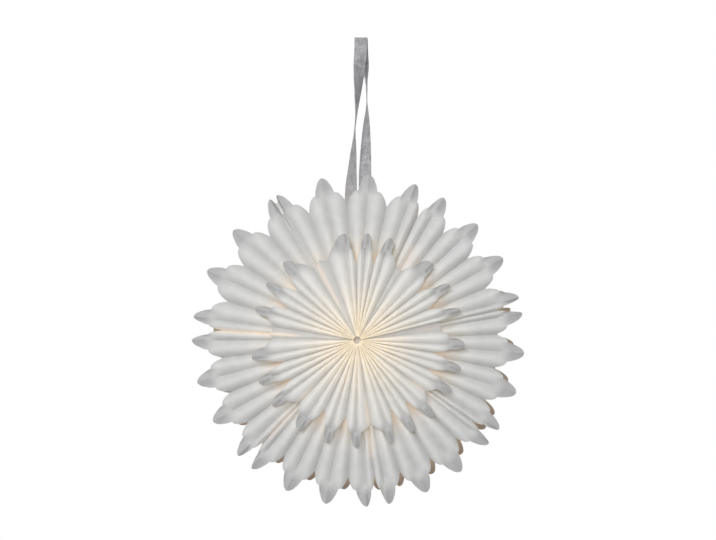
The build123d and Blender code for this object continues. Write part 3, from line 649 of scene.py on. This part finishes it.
# Each leg as (drop below the hook, place across, turn of its face in degrees), from the photograph.
FRONT_LEG = [
    (5.0, 0.0, 0.0), (20.0, -0.5, 8.0), (42.0, -2.4, 36.0), (63.0, -3.8, 60.0), (82.0, -5.2, 78.0),
    (97.0, -6.3, 90.0), (122.0, -8.5, 101.0), (146.0, -10.0, 122.0), (168.0, -11.4, 138.0),
    (194.0, -12.9, 162.0),
]
REAR_LEG = [
    (5.0, 0.0, 0.0), (18.0, 0.6, 8.0), (31.0, 2.4, 38.0), (46.0, 5.0, 77.0), (62.0, 6.4, 90.0),
    (83.0, 6.8, 97.0), (104.0, 6.4, 119.0), (130.0, 5.7, 140.0), (156.0, 5.1, 159.0), (182.0, 4.7, 175.0),
]
LEG_CLOSING = 1.2  # how the legs come together from the hook to the bar
FEET = {-1: -13.8, 1: 4.7}  # place across of each leg's end
LEG_STEPS = 9
HOOK_STEPS = 16
HEM_TURN, HEM_STEPS = 1.75 * pi, 14
ACROSS = 8
NAP_THICK = 0.92  # share of the ribbon's thickness without its loose nap
EDGE_WAVE, EDGE_SCALE, EDGE_SPREAD = 0.012, 0.35, 3.0  # the cut edge is a little uneven
CUP, CUP_LEVEL, CUP_SCALE = 0.7, 0.4, 0.05  # the ribbon cups a little across its width
CUP_SEED = 7.0
SOFT_EDGE = 0.3


def eased(values, place):
    """Smooth curve through evenly indexed values."""
    k = min(int(place), len(values) - 2)
    t = place - k
    a, b = values[k], values[k + 1]
    before = values[k - 1] if k else 2 * a - b
    after = values[k + 2] if k + 2 < len(values) else 2 * b - a
    return 0.5 * (2 * a + (b - before) * t + (2 * before - 5 * a + 4 * b - after) * t * t
                  + (3 * a - before - 3 * b + after) * t * t * t)


def leg_path(stations, side):
    """Places down one leg: (middle, direction across the ribbon)."""
    foot = -BAR_Z - BAR - RIBBON_THICK / 2
    stops = stations + [(foot, FEET[side], 180.0)]
    path = []
    for n in range((len(stops) - 1) * LEG_STEPS + 1):
        drop, across, turn = (eased([stop[k] for stop in stops], n / LEG_STEPS) for k in range(3))
        share = min(1.0, max(0.0, (drop - stops[0][0]) / (foot - stops[0][0])))
        depth = side * (HOOK + RIBBON_THICK / 2) * (1.0 - share) ** LEG_CLOSING
        wide = Vector((cos(radians(turn)), sin(radians(turn)), 0))
        path.append((Vector((across, depth, -drop)), wide))
    return path


def ribbon():
    """The whole felt ribbon as one strip: hem, front leg, fold over the hook, rear leg, hem."""
    radius = HOOK + RIBBON_THICK / 2
    fold = []
    for n in range(1, HOOK_STEPS):
        turn = pi * n / HOOK_STEPS
        fold.append((Vector((0, -radius * cos(turn), -HOOK + radius * sin(turn))), Vector((1, 0, 0))))
    front = leg_path(FRONT_LEG, -1)
    rear = leg_path(REAR_LEG, 1)
    loop = BAR + RIBBON_THICK / 2
    # Each hem goes on round the bar and ends a little way up its own leg.
    hems = {}
    for side in (-1, 1):
        hems[side] = [
            (Vector((FEET[side], -side * loop * sin(turn), BAR_Z + loop * cos(turn))), Vector((-1, 0, 0)))
            for turn in (HEM_TURN * k / HEM_STEPS for k in range(1, HEM_STEPS + 1))
        ]
    path = hems[-1][::-1] + front[::-1] + fold + rear + hems[1]
    shape = bmesh.new()
    bmesh.ops.create_grid(shape, x_segments=ACROSS, y_segments=len(path) - 1, size=0.5)
    for vertex in shape.verts:
        step = round((vertex.co.y + 0.5) * (len(path) - 1))
        middle, wide = path[step]
        ahead = path[min(step + 1, len(path) - 1)][0] - path[max(step - 1, 0)][0]
        off = wide.cross(ahead).normalized()
        share = vertex.co.x * 2
        edge = 1.0 + EDGE_WAVE * noise.noise(Vector((step * EDGE_SCALE, share * EDGE_SPREAD, 1.0)))
        cup = CUP * (share * share - CUP_LEVEL) * noise.noise(Vector((step * CUP_SCALE, CUP_SEED, 2.0)))
        vertex.co = (middle + wide * share * RIBBON_WIDE / 2 * edge + off * cup) * MM
    bmesh.ops.recalc_face_normals(shape, faces=shape.faces[:])
    for face in shape.faces:
        face.smooth = True
    mesh = bpy.data.meshes.new("felt_ribbon")
    shape.to_mesh(mesh)
    shape.free()
    mesh.materials.append(FELT)
    piece = bpy.data.objects.new("felt_ribbon", mesh)
    bpy.context.scene.collection.objects.link(piece)
    thick = piece.modifiers.new("thickness", "SOLIDIFY")
    thick.thickness = RIBBON_THICK * NAP_THICK * MM
    thick.offset = 0.0
    round_edge = piece.modifiers.new("soft_edge", "BEVEL")
    round_edge.width = SOFT_EDGE * MM
    round_edge.segments = 2
    round_edge.limit_method = "ANGLE"
    round_edge.angle_limit = radians(60)
    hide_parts("ribbon_loop")
    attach(piece, "ribbon")
    return piece


ribbon()


# ---------------------------------------------------------------- light, floor and backdrop


def lamp(name, kind, place, aim, energy, size, code):
    """One studio or lamp light."""
    data = bpy.data.lights.new(name, kind)
    data.energy = energy
    data.color = linear(code)[:3]
    if kind == "AREA":
        data.shape = "RECTANGLE"
        data.size, data.size_y = size
    else:
        data.shadow_soft_size = size
    thing = bpy.data.objects.new(name, data)
    thing.location = place
    if aim is not None:
        thing.rotation_euler = (Vector(aim) - Vector(place)).to_track_quat("-Z", "Y").to_euler()
    thing.visible_camera = False
    bpy.context.scene.collection.objects.link(thing)
    return thing


LAMP_DEPTH = 38.5  # mm in front of the star's middle
WORLD_LIGHT, WORLD_SEEN = 0.2, 1.0  # strength of the backdrop as light, and as the camera sees it
FLOOR_SEEN = 0.6
FLOOR_RADIUS, FLOOR_Z = 3.0, -1.9  # metres

# A broad soft light from in front, a smaller one from the upper left, one behind the star for its
# rear paper, and the lamp's own light inside.
middle = tuple(CENTRE)
lamp("key_softbox", "AREA", (-1.0, -1.8, 0.95), middle, 12.0, (0.6, 0.6), "#FFFFFF")
lamp("front_softbox", "AREA", (-0.1, -2.3, 0.15), middle, 20.0, (0.9, 0.9), "#FFFFFF")
lamp("rear_softbox", "AREA", (0.9, 2.2, 0.5), middle, 24.0, (0.9, 0.9), "#FFFFFF")
lamp("inner_lamp", "POINT", (CENTRE.x, CENTRE.y - LAMP_DEPTH * MM, CENTRE.z), None, 0.02, 0.004, "#FFC980")

world = bpy.data.worlds.new("white_studio")
bpy.context.scene.world = world
world.use_nodes = True
nodes = world.node_tree.nodes
background = nodes["Background"]
background.inputs["Color"].default_value = (1, 1, 1, 1)
path_node = nodes.new("ShaderNodeLightPath")
strength = nodes.new("ShaderNodeMapRange")
strength.inputs["To Min"].default_value = WORLD_LIGHT
strength.inputs["To Max"].default_value = WORLD_SEEN
world.node_tree.links.new(path_node.outputs["Is Camera Ray"], strength.inputs["Value"])
world.node_tree.links.new(strength.outputs["Result"], background.inputs["Strength"])

floor_material, floor_shader = new_material("matt_white_floor")
floor_shader.inputs["Base Color"].default_value = linear("#F4F4F4")
floor_shader.inputs["Roughness"].default_value = 0.9
# The floor looks as pale as the backdrop, and gives the star no light that the room does not have.
floor_path = add(floor_material, "ShaderNodeLightPath")
floor_shader.inputs["Emission Color"].default_value = (1, 1, 1, 1)
pale = add(floor_material, "ShaderNodeMapRange", values={"To Min": 0.0, "To Max": FLOOR_SEEN},
           links={"Value": (floor_path, "Is Camera Ray")})
link(floor_material, pale, "Result", floor_shader, "Emission Strength")
floor_shape = bmesh.new()
bmesh.ops.create_circle(floor_shape, cap_ends=True, segments=96, radius=FLOOR_RADIUS)
bmesh.ops.translate(floor_shape, verts=floor_shape.verts[:], vec=(0, 0, FLOOR_Z))
floor_mesh = bpy.data.meshes.new("studio_floor")
floor_shape.to_mesh(floor_mesh)
floor_shape.free()
floor_mesh.materials.append(floor_material)
studio_floor = bpy.data.objects.new("studio_floor", floor_mesh)
bpy.context.scene.collection.objects.link(studio_floor)
